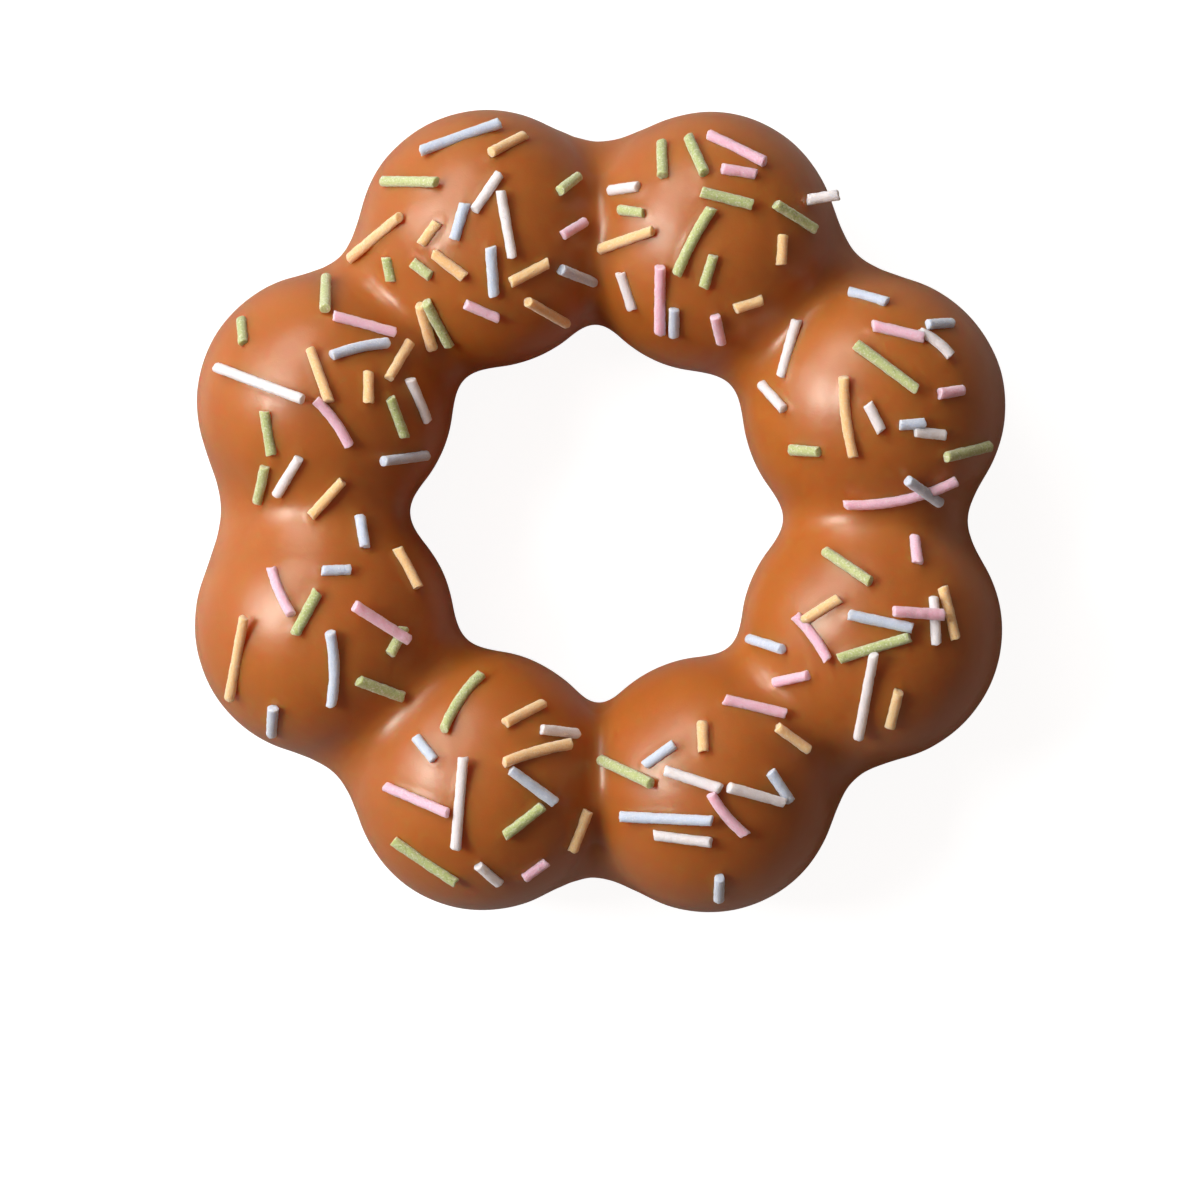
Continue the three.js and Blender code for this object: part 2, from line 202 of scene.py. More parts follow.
@dataclass
class RingSurface:
    """The frosted outside of the ring, as a distance for any point.

    Attributes:
        balls: the balls that it is made of.
        lift: height of every ball's centre.
        centre_line: radius of the circle that every section is drawn about.
        neck_inner: radius of the ring's necks at the hole.
        neck_outer: radius of the ring's necks at the outside.
        crest_height: height over the balls' centres where a neck is as sharp as on top.
        least_fill: how softly two balls run into each other at least.
        lip_height: height at which the frosting ends.
        lip_waves: for each side, the count round the ring, height and phase of each wave.
        halvings: steps of every search by halving.
        slope_step: distance over which a slope is measured.
    """

    balls: tuple[Ball, ...] = BALLS
    lift: float = 11.9
    centre_line: float = 31.8
    neck_inner: float = 20.5
    neck_outer: float = 41.0
    crest_height: float = 7.0
    least_fill: float = 0.0
    lip_height: float = 4.6
    lip_waves: dict[Side, tuple[tuple[int, float, float], ...]] = field(default_factory=lambda: {
        Side.OUTER: ((3, 0.35, 0.4), (7, 0.3, 2.1), (13, 0.2, 4.4)),
        Side.INNER: ((2, 0.3, 1.2), (5, 0.3, 3.3), (11, 0.15, 0.7)),
    })
    halvings: int = 32
    slope_step: float = 0.01

    def __post_init__(self) -> None:
        """Works out the balls' centres once."""
        turns = np.radians([ball.turn for ball in self.balls])
        reaches = np.array([ball.reach for ball in self.balls])
        heights = np.full(len(self.balls), self.lift)
        self.centres = np.stack([reaches * np.cos(turns), reaches * np.sin(turns), heights], 1)
        self.radii = np.array([ball.radius for ball in self.balls])
        self.fills = np.array([ball.fill for ball in self.balls])

    def distance(self, points: Array) -> Array:
        """Signed distance of points to the surface.

        Args:
            points: places, one a row.

        Returns:
            One distance a point, below 0 inside the frosting.
        """
        gaps = np.linalg.norm(points[:, None, :] - self.centres, axis=2) - self.radii
        order = np.argsort(gaps, axis=1)[:, :2]
        nearest, following = order.T
        near, far = np.take_along_axis(gaps, order, 1).T
        forward = (nearest + 1) % len(self.balls) == following
        at_hole, outside, on_top = self.fills[np.where(forward, nearest, following)].T
        radius = np.hypot(points[:, 0], points[:, 1])
        outward = np.clip((radius - self.neck_inner) / (self.neck_outer - self.neck_inner), 0, 1)
        upward = np.clip((points[:, 2] - self.lift) / self.crest_height, 0, 1)
        level = at_hole + (outside - at_hole) * outward
        fill = np.maximum(level + (on_top - level) * upward, self.least_fill)
        closeness = np.maximum(fill - (far - near), 0) / fill
        return near - closeness * closeness * fill / 4

    def between(self, inside: Array, outside: Array, wanted: Array | float) -> Array:
        """Finds where the distance passes a wanted value on the way between two places.

        Args:
            inside: places that lie deeper, one a row.
            outside: places that lie less deep.
            wanted: the distance.

        Returns:
            The places found.
        """
        low = np.zeros((len(inside), 1))
        high = np.ones((len(inside), 1))
        for _ in range(self.halvings):
            middle = (low + high) / 2
            deep = (self.distance(inside + (outside - inside) * middle) < wanted)[:, None]
            low = np.where(deep, middle, low)
            high = np.where(deep, high, middle)
        return inside + (outside - inside) * low

    def section(self, turns: Array, tilts: Array, depths: Array) -> Array:
        """Points of the ring's sections.

        Args:
            turns: places round the hole, in radians.
            tilts: directions in the section: 0 faces outward and a quarter turn faces up.
            depths: how far the points lie under the frosted surface.

        Returns:
            The points, one a row.
        """
        outward = np.stack([np.cos(turns), np.sin(turns), np.zeros_like(turns)], 1)
        upward = np.array([0.0, 0.0, 1.0])
        centre = outward * self.centre_line + upward * self.lift
        aim = outward * np.cos(tilts)[:, None] + upward * np.sin(tilts)[:, None]
        far_out = centre + aim * (2 * self.lift)
        return self.between(centre, far_out, -depths)

    def lip_tilts(self, turns: Array, side: Side) -> Array:
        """The tilts at which the frosting ends.

        Args:
            turns: places round the hole, in radians.
            side: the side of the ring.

        Returns:
            One tilt a place, in radians.
        """
        height = self.lip_height + sum(
            rise * np.sin(count * turns + phase) for count, rise, phase in self.lip_waves[side])
        low = np.zeros_like(turns)
        high = np.full_like(turns, math.pi / 2)
        for _ in range(self.halvings):
            dip = (low + high) / 2
            tilt = -dip if side is Side.OUTER else math.pi + dip
            above = self.section(turns, tilt, np.zeros_like(turns))[:, 2] > height
            low = np.where(above, dip, low)
            high = np.where(above, high, dip)
        return -low if side is Side.OUTER else math.pi + low

    def normals(self, points: Array) -> Array:
        """Outward directions of the surface at points.

        Args:
            points: places on or near the surface, one a row.

        Returns:
            One unit vector a point.
        """
        here = self.distance(points)
        growth = [self.distance(points + step) - here for step in np.eye(3) * self.slope_step]
        slopes = np.stack(growth, 1)
        return slopes / np.linalg.norm(slopes, axis=1, keepdims=True)

    def above(self, place: Array, steepest: float) -> Array | None:
        """The frosted surface above a place.

        Args:
            place: its X and Y.
            steepest: least upward share of the surface's normal.

        Returns:
            The point on the surface, or None where there is none or it is steeper.
        """
        inside = np.array([[*place, self.lift]])
        if self.distance(inside)[0] >= 0:
            return None
        far_up = np.array([[*place, 3 * self.lift]])
        surface = self.between(inside, far_up, 0.0)
        return None if self.normals(surface)[0, 2] < steepest else surface[0]


@dataclass
class Sprinkle:
    """One sugar rod where it lies.

    Attributes:
        start: one end of its axis.
        end: the other end.
        right: level direction to the right of its axis.
        up: direction square to both.
        bow: how far its middle bows to the left.
        colour: its colour.
        radius: its radius.
    """

    start: Array
    end: Array
    right: Array
    up: Array
    bow: float
    colour: Colour = WHITE
    radius: float = ROD_RADIUS

    def points(self, places: Array) -> Array:
        """Points of its bowed middle line, at places from -1 at the start to 1 at the end."""
        straight = self.start + (self.end - self.start) * ((1 + places) / 2)[:, None]
        return straight - self.right * (self.bow * (1 - places * places))[:, None]

    def length(self) -> float:
        """The length of its axis."""
        return float(np.linalg.norm(self.end - self.start))

    def lift(self, rise: float) -> None:
        """Raises both ends."""
        self.start[2] += rise
        self.end[2] += rise


@dataclass
class Scatter:
    """The rule that lays the sprinkles out, as in the solids.

    Attributes:
        surface: the frosting that they lie on.
        radius: a sprinkle's radius.
        sink: how deep one lies in the frosting.
        girth_spread: how much thicker or thinner one is, as a share.
        short_length: the least and the greatest length of the short ones.
        reach: how much of a ball's radius the short ones use.
        trials: places tried for a short one; the roomiest is used.
        steepest: least upward share of the surface's normal under an end.
        crossing_lift: share of a diameter that one lies above another that it crosses.
        touch_points: points of one that are held against the frosting.
        settling_steps: rounds of raising or lowering it.
        dice: the draw of the short ones' places and of every girth.
    """

    surface: RingSurface
    radius: float = ROD_RADIUS
    sink: float = 0.42
    girth_spread: float = 0.06
    short_length: tuple[float, float] = (2.5, 5.3)
    reach: float = 0.84
    trials: int = 8
    steepest: float = 0.36
    crossing_lift: float = 0.7
    touch_points: int = 9
    settling_steps: int = 6
    dice: Dice = field(default_factory=lambda: Dice(SCATTER_SEED))

    def settle(self, middle: Array, heading: float, length: float, bow: float,
               may_jut: bool) -> Sprinkle | None:
        """Lays a sprinkle on the frosting at a place.

        Args:
            middle: X and Y of its middle.
            heading: its heading, in radians.
            length: its length as seen from above.
            bow: how far its middle bows to the left.
            may_jut: whether its far end may jut out level over nothing.

        Returns:
            The sprinkle, or None where an end would lie over nothing or too steeply.
        """
        ahead = np.array([math.cos(heading), math.sin(heading)]) * (length / 2)
        start = self.surface.above(middle - ahead, self.steepest)
        end = self.surface.above(middle + ahead, self.steepest)
        if start is not None and end is None and may_jut:
            end = start + np.array([*ahead, 0.0]) * 2
        if start is None or end is None:
            return None
        along = end - start
        right = np.array([along[1], -along[0], 0.0])
        right /= np.linalg.norm(right)
        up = np.cross(right, along)
        up /= np.linalg.norm(up)
        sprinkle = Sprinkle(start, end, right, up, bow)
        places = np.linspace(-1, 1, self.touch_points)
        for _ in range(self.settling_steps):
            lowest = self.surface.distance(sprinkle.points(places)).min()
            sprinkle.lift((self.radius - self.sink - lowest) / up[2])
        return sprinkle

    def gaps(self, sprinkle: Sprinkle, others: list[Sprinkle], flat: bool) -> Array:
        """How far a sprinkle's axis passes from others, found by steps between them.

        Args:
            sprinkle: the sprinkle.
            others: the others.
            flat: whether heights are left out.

        Returns:
            One distance for each of the others.
        """
        keep = np.array([1.0, 1.0, 0.0 if flat else 1.0])
        starts = np.array([other.start for other in others]) * keep
        ways = np.array([other.end for other in others]) * keep - starts
        start = sprinkle.start * keep
        way = sprinkle.end * keep - start
        on_first = np.tile(start + way / 2, (len(others), 1))
        on_second = on_first
        for _ in range(self.surface.halvings):
            shares = np.sum((on_first - starts) * ways, 1) / np.sum(ways * ways, 1)
            on_second = starts + ways * np.clip(shares, 0, 1)[:, None]
            shares = (on_second - start) @ way / (way @ way)
            on_first = start + way * np.clip(shares, 0, 1)[:, None]
        return np.linalg.norm(on_first - on_second, axis=1)

    def raise_clear(self, sprinkle: Sprinkle, placed: list[Sprinkle]) -> None:
        """Raises a sprinkle until it lies on the ones that it crosses.

        Args:
            sprinkle: the sprinkle.
            placed: the ones that lie there.
        """
        least = self.crossing_lift * 2 * self.radius
        for other in placed:
            gap = self.gaps(sprinkle, [other], False)[0]
            beneath = self.gaps(sprinkle, [other], True)[0]
            if gap < least:
                sprinkle.lift(math.sqrt(least**2 - beneath**2) - math.sqrt(gap**2 - beneath**2))

    def scatter_short(self, number: int, placed: list[Sprinkle]) -> Sprinkle:
        """Finds the roomiest of a few random places on a ball for a short sprinkle.

        Args:
            number: the ball's number.
            placed: the ones that lie there.

        Returns:
            The sprinkle.
        """
        best = None
        most_room = -1.0
        centre = self.surface.centres[number]
        for _ in range(self.trials):
            away = self.surface.radii[number] * self.reach * math.sqrt(self.dice.draw(0, 1))
            bearing = self.dice.draw(0, 2 * math.pi)
            heading = self.dice.draw(0, math.pi)
            length = self.dice.draw(*self.short_length)
            middle = centre[:2] + away * np.array([math.cos(bearing), math.sin(bearing)])
            sprinkle = self.settle(middle, heading, length, 0, False)
            room = -1.0 if sprinkle is None else self.gaps(sprinkle, placed, True).min()
            if room > most_room:
                most_room = room
                best = sprinkle
        return best

    def lay_out(self) -> list[Sprinkle]:
        """Lays out all sprinkles: those that stand out on each ball, then the short ones.

        Returns:
            The sprinkles, in the order of the draws.
        """
        placed: list[Sprinkle] = []
        for number, ball in enumerate(self.surface.balls):
            centre = self.surface.centres[number]
            for colour, right, above, heading, length, bow in ball.long:
                middle = centre[:2] + np.array([right, above])
                sprinkle = self.settle(middle, math.radians(heading), length, bow, True)
                self.raise_clear(sprinkle, placed)
                sprinkle.colour = colour
                placed.append(sprinkle)
        for number, ball in enumerate(self.surface.balls):
            for colour, count in ball.short:
                for _ in range(count):
                    sprinkle = self.scatter_short(number, placed)
                    sprinkle.colour = colour
                    placed.append(sprinkle)
        for sprinkle in placed:
            spread = self.dice.draw(1 - self.girth_spread, 1 + self.girth_spread)
            sprinkle.radius = self.radius * spread
        return placed


class Link:
    """A node's output with its arithmetic."""

    def __init__(self, finish: Finish, socket: bpy.types.NodeSocket) -> None:
        """Wraps an output of one of a finish's nodes."""
        self.finish = finish
        self.socket = socket

    def maths(self, operation: str, first: Link | float, second: Link | float) -> Link:
        """Adds a Math node and gives its output."""
        return self.finish.node("Math", {"operation": operation}, {0: first, 1: second})

    def __add__(self, other: Link | float) -> Link:
        """The sum."""
        return self.maths("ADD", self, other)

    __radd__ = __add__

    def __sub__(self, other: Link | float) -> Link:
        """The difference."""
        return self.maths("SUBTRACT", self, other)

    def __mul__(self, other: Link | float) -> Link:
        """The product."""
        return self.maths("MULTIPLY", self, other)

    __rmul__ = __mul__


class Finish:
    """A material in the making: a principled surface and what feeds it."""

    def __init__(self, name: str) -> None:
        """Starts an empty material.

        Args:
            name: the material's name.
        """
        self.material = bpy.data.materials.new(name)
        self.material.use_nodes = True
        self.tree = self.material.node_tree
        self.tree.nodes.clear()
        self.surface = self.tree.nodes.new("ShaderNodeBsdfPrincipled")
        output = self.tree.nodes.new("ShaderNodeOutputMaterial")
        self.tree.links.new(self.surface.outputs[0], output.inputs["Surface"])
        coordinates = self.tree.nodes.new("ShaderNodeTexCoord")
        self.place = Link(self, coordinates.outputs["Object"])

    def feed(self, socket: bpy.types.NodeSocket, value: Link | float | tuple[float, ...]) -> None:
        """Gives an input its value.

        Args:
            socket: the input.
            value: a link or a fixed value.
        """
        if isinstance(value, Link):
            self.tree.links.new(value.socket, socket)
        elif socket.type == "RGBA":
            socket.default_value = (*value, 1.0)
        else:
            socket.default_value = value

    def node(self, kind: str, settings: dict | None = None, inputs: dict | None = None,
             output: int | str = 0) -> Link:
        """Adds any node.

        Args:
            kind: the node's type, without the words ShaderNode.
            settings: its settings.
            inputs: values or links by input name or number.
            output: the wanted output.

        Returns:
            That output.
        """
        made = self.tree.nodes.new("ShaderNode" + kind)
        for key, value in (settings or {}).items():
            setattr(made, key, value)
        for key, value in (inputs or {}).items():
            self.feed(made.inputs[key], value)
        return Link(self, made.outputs[output])

    def grain(self, size: float, detail: float = 2.0, roughness: float = 0.5) -> Link:
        """Adds a noise pattern from 0 to 1, with cells of a size in metres."""
        return self.node("TexNoise", None, {
            "Vector": self.place, "Scale": 1 / size, "Detail": detail, "Roughness": roughness})

    def ramp(self, value: Link, low: float, high: float) -> Link:
        """Stretches a value so that low becomes 0 and high becomes 1, smoothly and clamped."""
        return self.node("MapRange", {"interpolation_type": "SMOOTHSTEP"}, {
            "Value": value, "From Min": low, "From Max": high})

    def blend(self, first: Link | tuple, second: Link | tuple, share: Link | float) -> Link:
        """Mixes two colours by the second's share."""
        return self.node("Mix", {"data_type": "RGBA"}, {"Factor": share, 6: first, 7: second}, 2)

    def bump(self, height: Link, distance: float, strength: float = 1.0,
             normal: Link | None = None) -> Link:
        """Adds a Bump node.

        Args:
            height: the relief, from 0 to 1.
            distance: how high 1 stands, in metres.
            strength: how much of it is used.
            normal: the normal under it.

        Returns:
            The new normal.
        """
        inputs = {"Height": height, "Distance": distance, "Strength": strength}
        if normal is not None:
            inputs["Normal"] = normal
        return self.node("Bump", None, inputs)

    def set(self, **inputs: Link | float | tuple) -> None:
        """Sets inputs of the surface, named with underscores for spaces."""
        for key, value in inputs.items():
            self.feed(self.surface.inputs[key.replace("_", " ")], value)


@dataclass(frozen=True)
class FrostingFinish:
    """Satin caramel frosting: brown, with broad soft highlights. Its lengths are in metres."""

    body: Rgb = (0.474, 0.143, 0.020)
    cloud: Rgb = (0.429, 0.121, 0.016)
    highlight: Rgb = (1.0, 0.98, 0.86)
    scatter: Rgb = (1.0, 0.17, 0.07)
    scatter_depth: float = 0.0045
    roughness: float = 0.28
    cloud_size: float = 0.014
    patch_size: float = 0.004
    swell_size: float = 0.0028
    swell_height: float = 0.00006
    grain_size: float = 0.00022
    grain_height: float = 0.000012

    def make(self) -> bpy.types.Material:
        """Makes the material."""
        finish = Finish("caramel_frosting")
        clouds = finish.ramp(finish.grain(self.cloud_size, 3.0), 0.3, 0.7)
        grain = finish.grain(self.grain_size, 2.0, 0.6)
        swell = finish.grain(self.swell_size)
        patches = finish.grain(self.patch_size)
        finish.set(
            Base_Color=finish.blend(self.body, self.cloud, clouds),
            Roughness=self.roughness + 0.08 * patches + 0.04 * grain,
            IOR=1.55,
            Specular_Tint=self.highlight,
            Subsurface_Weight=1.0,
            Subsurface_Radius=self.scatter,
            Subsurface_Scale=self.scatter_depth,
            Coat_Weight=0.25,
            Coat_Roughness=0.55,
            Normal=finish.bump(
                grain, self.grain_height, normal=finish.bump(swell, self.swell_height)),
        )
        return finish.material


@dataclass(frozen=True)
class DoughFinish:
    """Fried dough: golden, dry and pitted, with brown blotches. Its lengths are in metres."""

    golden: Rgb = (0.62, 0.33, 0.12)
    brown: Rgb = (0.34, 0.13, 0.035)
    roughness: float = 0.62
    blotch_size: float = 0.006
    pit_size: float = 0.0009
    crust_size: float = 0.0005
    pit_depth: float = 0.00009

    def make(self) -> bpy.types.Material:
        """Makes the material."""
        finish = Finish("fried_dough")
        blotch = finish.ramp(finish.grain(self.blotch_size, 4.0, 0.6), 0.35, 0.75)
        pits = finish.node("TexVoronoi", {"feature": "SMOOTH_F1"}, {
            "Vector": finish.place, "Scale": 1 / self.pit_size})
        crust = finish.grain(self.crust_size, 3.0, 0.65)
        finish.set(
            Base_Color=finish.blend(self.golden, self.brown, blotch * 0.7 + 0.15 * crust),
            Roughness=self.roughness + 0.2 * crust,
            Normal=finish.bump(finish.ramp(pits, 0.0, 0.6) + 0.6 * crust, self.pit_depth, 0.8),
        )
        return finish.material


@dataclass(frozen=True)
class SugarFinish:
    """Pressed sugar: matt and chalky, coarser with more grit. Its lengths are in metres."""

    name: str
    pale: Rgb
    deep: Rgb
    grit: float
    crystal: Rgb = (0.93, 0.90, 0.88)
    scatter: Rgb = (1.0, 0.9, 0.8)
    scatter_depth: float = 0.0012
    roughness: float = 0.72
    crumb_size: float = 0.00022
    speck_size: float = 0.00030
    crystal_size: float = 0.00024
    crumb_height: float = 0.00008

    def make(self) -> bpy.types.Material:
        """Makes the material."""
        finish = Finish("sugar_" + self.name)
        tint = finish.node("Attribute", {"attribute_name": "tint"}, None, "Fac")
        crumbs = finish.grain(self.crumb_size, 3.0, 0.75)
        specks = finish.ramp(finish.grain(self.speck_size, 1.0), 0.56, 0.74)
        crystals = finish.ramp(finish.grain(self.crystal_size, 2.0, 0.6), 0.5, 0.75)
        shade = tint * 0.5 + 0.5 * crumbs + (0.4 * self.grit) * specks
        body = finish.blend(self.pale, self.deep, shade)
        finish.set(
            Base_Color=finish.blend(body, self.crystal, (0.2 + 0.35 * self.grit) * crystals),
            Roughness=self.roughness + 0.2 * crumbs,
            Subsurface_Weight=1.0,
            Subsurface_Radius=self.scatter,
            Subsurface_Scale=self.scatter_depth,
            Sheen_Weight=0.5,
            Sheen_Roughness=0.6,
            Normal=finish.bump(
                crumbs + 0.5 * crystals - 0.8 * self.grit * specks, self.crumb_height),
        )
        return finish.material


SUGAR = {
    WHITE: SugarFinish("white", (0.85, 0.80, 0.80), (0.71, 0.65, 0.67), 0.2),
    PINK: SugarFinish("pink", (0.97, 0.53, 0.65), (0.93, 0.43, 0.55), 0.25),
    BLUE: SugarFinish("blue", (0.57, 0.65, 0.78), (0.48, 0.56, 0.71), 0.3),
    GREEN: SugarFinish("green", (0.50, 0.56, 0.24), (0.31, 0.39, 0.12), 1.0),
    ORANGE: SugarFinish("orange", (0.93, 0.57, 0.27), (0.84, 0.45, 0.17), 0.3),
}


def add_object(name: str, data: bpy.types.ID) -> bpy.types.Object:
    """Puts an object into the scene.

    Args:
        name: its name.
        data: its mesh, light or camera.

    Returns:
        The object.
    """
    made = bpy.data.objects.new(name, data)
    bpy.context.scene.collection.objects.link(made)
    return made


def dress(mesh: bmesh.types.BMesh, name: str, material: bpy.types.Material,
          nodes: tuple[str, ...]) -> bpy.types.Object:
    """Turns a finished bmesh in millimetres into a piece that rides on the ring.

    Args:
        mesh: the bmesh, which is freed.
        name: the piece's name.
        material: its material.
        nodes: the CAD nodes that it stands for.

    Returns:
        The piece.
    """
    bmesh.ops.scale(mesh, vec=Vector((MM, MM, MM)), verts=mesh.verts)
    for face in mesh.faces:
        face.smooth = True
    data = bpy.data.meshes.new(name)
    mesh.to_mesh(data)
    mesh.free()
    data.materials.append(material)
    piece = add_object(name, data)
    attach(piece, BODY)
    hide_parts(*nodes)
    LOG.info("%s: %d triangles", name, sum(len(face.vertices) - 2 for face in data.polygons))
    return piece


@dataclass
class RolledSheet:
    """A sheet of quads rolled round the ring's section and along the ring, and sewn shut.

    Attributes:
        columns: quads round the ring.
        shares: for each row, its share of the way from the outer lip to the inner one.
        depths: for each row, its depth under the frosted surface.
        overhang: for each row, how far past its share it turns, in radians.
        seam: widest gap that is sewn shut.
    """

    columns: int
    shares: Array
    depths: Array
    overhang: Array
    seam: float = 0.0001

    def roll(self, surface: RingSurface) -> tuple[bmesh.types.BMesh, Array, Array]:
        """Makes the sheet and finds where its vertices belong.

        Args:
            surface: the frosted surface.

        Returns:
            The flat sheet, where each of its vertices belongs and each vertex's row.
        """
        rows = len(self.shares)
        sheet = bmesh.new()
        bmesh.ops.create_grid(sheet, x_segments=self.columns, y_segments=rows, size=1.0)
        corners = np.array([vertex.co[:2] for vertex in sheet.verts])
        column = np.rint((corners[:, 0] + 1) / 2 * self.columns).astype(int) % self.columns
        row = np.rint((corners[:, 1] + 1) / 2 * rows).astype(int) % rows
        turns = 2 * math.pi * np.arange(self.columns) / self.columns
        outer = surface.lip_tilts(turns, Side.OUTER)[column]
        inner = surface.lip_tilts(turns, Side.INNER)[column]
        tilts = outer + (inner - outer) * self.shares[row] + self.overhang[row]
        return sheet, surface.section(turns[column], tilts, self.depths[row]), row

    def sew(self, sheet: bmesh.types.BMesh, places: Array) -> None:
        """Moves the vertices to their places and joins the sheet's edges.

        Args:
            sheet: the sheet.
            places: one place a vertex.
        """
        for vertex, place in zip(sheet.verts, places):
            vertex.co = place
        bmesh.ops.remove_doubles(sheet, verts=sheet.verts, dist=self.seam)
        bmesh.ops.recalc_face_normals(sheet, faces=sheet.faces)


@dataclass(frozen=True)
class Relief:
    """A soft random relief.

    Attributes:
        size: how wide its swells are.
        height: how high they stand.
        seed: shifts the pattern.
    """

    size: float
    height: float
    seed: float = 0.0

    def at(self, point: Vector, shift: Vector) -> float:
        """Its height at a point, with the pattern shifted."""
        return noise.noise(point / self.size + shift) * self.height

    def over(self, points: Array) -> Array:
        """Its height at many points, one a row."""
        shift = Vector((self.seed, self.seed / 3, -self.seed))
        return np.array([self.at(Vector(point), shift) for point in points])


@dataclass
class Frosting:
    """The frosting: a skin over the top, drawn up a little round each sprinkle.

    Attributes:
        surface: its outside.
        sprinkles: what sticks in it.
        columns: quads round the ring.
        flank_rows: rows on either side of the crown.
        crown_rows: rows over the crown.
        crown_share: where the crown starts and ends.
        nose_rows: rows round a lip.
        covered_rows: rows against the dough.
        thickness: its thickness.
        section_length: its length from lip to lip, in balls' radii.
        bead: how much it swells at its lip.
        bead_reach: how far from the lip it swells.
        swells: its soft relief.
        meniscus: how high it is drawn up at a sprinkle.
        meniscus_reach: how far from the sprinkle.
        meniscus_end: how far from it at most.
        line_points: points that stand for a sprinkle.
    """

    surface: RingSurface
    sprinkles: list[Sprinkle]
    columns: int = 560
    flank_rows: int = 14
    crown_rows: int = 96
    crown_share: tuple[float, float] = (0.2, 0.8)
    nose_rows: int = 6
    covered_rows: int = 14
    thickness: float = 1.1
    section_length: float = 4.4
    bead: float = 0.14
    bead_reach: float = 1.3
    swells: tuple[Relief, ...] = (Relief(9.0, 0.09, 3.7), Relief(4.0, 0.035, 11.3))
    meniscus: float = 0.13
    meniscus_reach: float = 0.24
    meniscus_end: float = 2.0
    line_points: int = 25

    def rows(self) -> RolledSheet:
        """Lays out its rows: over the top, round one lip, back and round the other."""
        low, high = self.crown_share
        top = np.concatenate([
            np.linspace(0, low, self.flank_rows, endpoint=False),
            np.linspace(low, high, self.crown_rows, endpoint=False),
            np.linspace(high, 1, self.flank_rows + 1),
        ])
        radius = self.thickness / 2
        swing = math.pi * np.arange(1, self.nose_rows) / self.nose_rows
        nose = np.sin(swing) * radius / self.surface.balls[0].radius
        nose_depths = radius * (1 - np.cos(swing))
        under = np.linspace(1, 0, self.covered_rows + 1)
        shares = np.concatenate([top, np.ones_like(nose), under, np.zeros_like(nose)])
        depths = np.concatenate([
            np.zeros_like(top), nose_depths, np.full_like(under, self.thickness), nose_depths[::-1]])
        overhang = np.concatenate([np.zeros_like(top), nose, np.zeros_like(under), -nose[::-1]])
        return RolledSheet(self.columns, shares, depths, overhang)

    def drawn_up(self, points: Array) -> Array:
        """How far the sprinkles draw the frosting up at each point.

        Args:
            points: places on the frosting, one a row.

        Returns:
            One height a point.
        """
        height = np.zeros(len(points))
        places = np.linspace(-1, 1, self.line_points)
        for sprinkle in self.sprinkles:
            middle = (sprinkle.start + sprinkle.end) / 2
            reach = sprinkle.length() / 2 + self.meniscus_end
            near = np.nonzero(np.abs(points - middle).max(1) < reach)[0]
            line = sprinkle.points(places)
            away = np.linalg.norm(points[near][:, None] - line, axis=2).min(1) - sprinkle.radius
            rise = self.meniscus * np.exp(-np.abs(away) / self.meniscus_reach)
            height[near] = np.maximum(height[near], rise)
        return height

    def build(self) -> bpy.types.Object:
        """Builds the piece."""
        layout = self.rows()
        sheet, places, row = layout.roll(self.surface)
        normals = self.surface.normals(places)
        outside = np.clip(1 - layout.depths[row] / self.thickness, 0, 1)
        share = layout.shares[row]
        length = self.section_length * self.surface.balls[0].radius
        from_lip = np.minimum(share, 1 - share) * length
        rise = self.bead * np.exp(-(from_lip / self.bead_reach) ** 2)
        rise += sum(swell.over(places) for swell in self.swells)
        rise += self.drawn_up(places)
        layout.sew(sheet, places + normals * (rise * outside)[:, None])
        return dress(sheet, "frosting_coat", FrostingFinish().make(), ("frosting",))


@dataclass
class DoughRing:
    """The fried dough, which shows at the foot and underneath.

    Attributes:
        surface: the frosted surface that it lies under.
        depth: how far it lies under it.
        columns: quads round the ring.
        covered_rows: rows under the frosting.
        foot_rows: rows over the foot, from lip to lip.
        foot_softness: how rounded the edge of its flat foot is.
        lumps: its soft relief.
        settled: how much deeper it lies all over.
        sunk: how much deeper it lies where the frosting covers it.
        sunk_slope: how soon from a lip.
    """

    surface: RingSurface
    depth: float = 1.2
    columns: int = 448
    covered_rows: int = 20
    foot_rows: int = 60
    foot_softness: float = 0.35
    lumps: tuple[Relief, ...] = (Relief(2.6, 0.14, 5.1), Relief(0.9, 0.06, 9.9))
    settled: float = 0.06
    sunk: float = 0.3
    sunk_slope: float = 12.0

    def build(self) -> bpy.types.Object:
        """Builds the piece."""
        covered = np.linspace(0, 1, self.covered_rows, endpoint=False)
        foot = np.linspace(0, 1, self.foot_rows, endpoint=False)
        shares = np.concatenate([covered, 1 - foot])
        overhang = np.concatenate([np.zeros_like(covered), 2 * math.pi * foot])
        layout = RolledSheet(self.columns, shares, np.full_like(shares, self.depth), overhang)
        sheet, places, row = layout.roll(self.surface)
        normals = self.surface.normals(places)
        relief = sum(lump.over(places) for lump in self.lumps) - self.settled
        share = np.where(overhang[row] > 0, 0, shares[row])
        relief -= self.sunk * np.minimum(1, self.sunk_slope * share * (1 - share))
        places = places + normals * relief[:, None]
        height = places[:, 2]
        places[:, 2] = (height + np.sqrt(height**2 + self.foot_softness**2)) / 2
        layout.sew(sheet, places)
        return dress(sheet, "fried_dough", DoughFinish().make(), ("dough_ring",))


